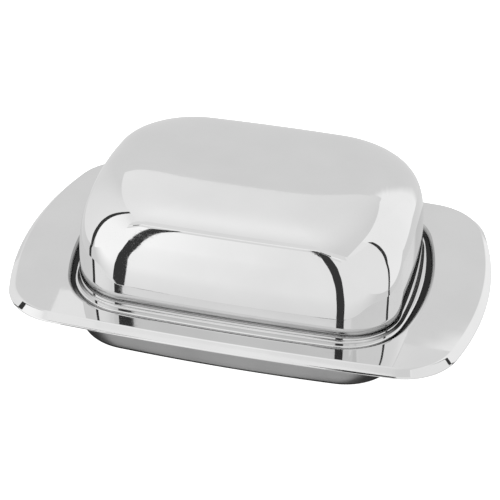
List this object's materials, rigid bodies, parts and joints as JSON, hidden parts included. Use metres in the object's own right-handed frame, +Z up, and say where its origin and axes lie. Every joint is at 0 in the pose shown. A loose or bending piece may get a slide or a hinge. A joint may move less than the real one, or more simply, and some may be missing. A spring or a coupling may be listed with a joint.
{
  "type": "butter dish",
  "caption": "Low stainless steel butter dish: winged tray with a stepped rectangular well, and a loose domed cover whose hemmed flange rests on the ledge in the well.",
  "frame": {"origin": "on the table, under the middle of the dish", "axes": "+Z up, +X along the length, towards one wing of the tray, Y across the depth"},
  "size_m": [0.19, 0.122, 0.064],
  "materials": {
    "polished_tray": "mirror-polished stainless steel, satin on the underside and the outside of the well",
    "polished_cover": "mirror-polished stainless steel, satin inside"
  },
  "bodies": {
    "tray": {"tray": "polished_tray"},
    "cover": {"cover": "polished_cover"}
  },
  "joints": [
    {"name": "cover_lift", "type": "slide", "parent": "tray", "child": "cover", "axis": [0, 0, 1], "range_m": [0, 0.09]}
  ]
}
